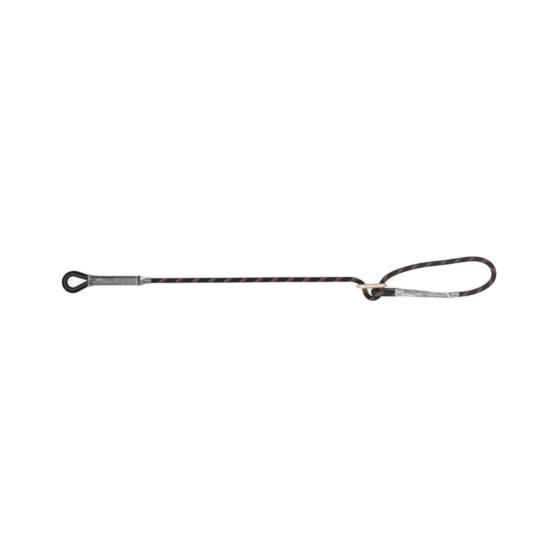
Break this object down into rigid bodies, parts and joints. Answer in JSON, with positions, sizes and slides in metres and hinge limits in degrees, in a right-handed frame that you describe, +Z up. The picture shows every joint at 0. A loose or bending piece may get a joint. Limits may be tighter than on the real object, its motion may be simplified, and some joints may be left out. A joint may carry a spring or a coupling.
{
  "type": "adjustable rope lanyard",
  "caption": "Adjustable climbing lanyard laid flat: kernmantle rope with a sewn thimble eye, reeved through a ring adjuster and a sewn terminal eye into a loop.",
  "frame": {"origin": "centre of the lanyard's rigid ends in plan, on the floor it lies on", "axes": "+X runs from the thimble eye to the loop, +Z up from the floor, +Y to the loop's wider side"},
  "size_m": [1.0731, 0.109, 0.0389],
  "materials": {
    "black_plastic": "injection-moulded black plastic, lightly worn satin",
    "braided_sheath": "black braided polyamide sheath with a grey and red tracer",
    "rope_core": "undyed twisted polyamide core strands",
    "seam_thread": "grey bonded polyester sewing thread",
    "printed_label": null,
    "clear_sleeve": "wrinkled clear heat-shrink sleeve",
    "gold_aluminium": "pale gold anodised forged aluminium"
  },
  "bodies": {
    "adjuster_end": {"adjuster_bight_sheath": "braided_sheath", "adjuster_bight_core": "rope_core", "terminal_eye_sheath": "braided_sheath", "terminal_eye_core": "rope_core", "right_needle_thread": "seam_thread", "right_bobbin_thread": "seam_thread", "right_sleeve": "clear_sleeve", "standing_part_sheath": "braided_sheath", "standing_part_core": "rope_core", "loop_out_sheath": "braided_sheath", "loop_out_core": "rope_core", "loop_return_sheath": "braided_sheath", "loop_return_core": "rope_core"},
    "adjuster": {"adjuster_ring": "gold_aluminium"},
    "thimble_end": {"thimble": "black_plastic", "left_eye_sheath": "braided_sheath", "left_eye_core": "rope_core", "left_needle_thread": "seam_thread", "left_bobbin_thread": "seam_thread", "label": "printed_label", "left_sleeve": "clear_sleeve"},
    "loop_end": {"loop_bend_sheath": "braided_sheath", "loop_bend_core": "rope_core"}
  },
  "joints": [
    {"name": "length_adjust", "type": "slide", "parent": "adjuster_end", "child": "thimble_end", "axis": [1, 0, 0], "range_m": [-0.04, 0.16], "deforming": ["standing_part_sheath", "standing_part_core"]},
    {"name": "loop_length", "type": "slide", "parent": "adjuster_end", "child": "loop_end", "axis": [1, 0, 0], "range_m": [-0.02, 0.08], "deforming": ["loop_out_sheath", "loop_out_core", "loop_return_sheath", "loop_return_core"]},
    {"name": "adjuster_tilt", "type": "hinge", "parent": "adjuster_end", "child": "adjuster", "pos_m": [0.2736, -0.0031, 0.0195], "axis": [0.999, 0.0454, 0], "range_deg": [0, 15]}
  ],
  "couplings": [
    {"joint": "loop_length", "follows": "length_adjust", "ratio": 0.5}
  ]
}
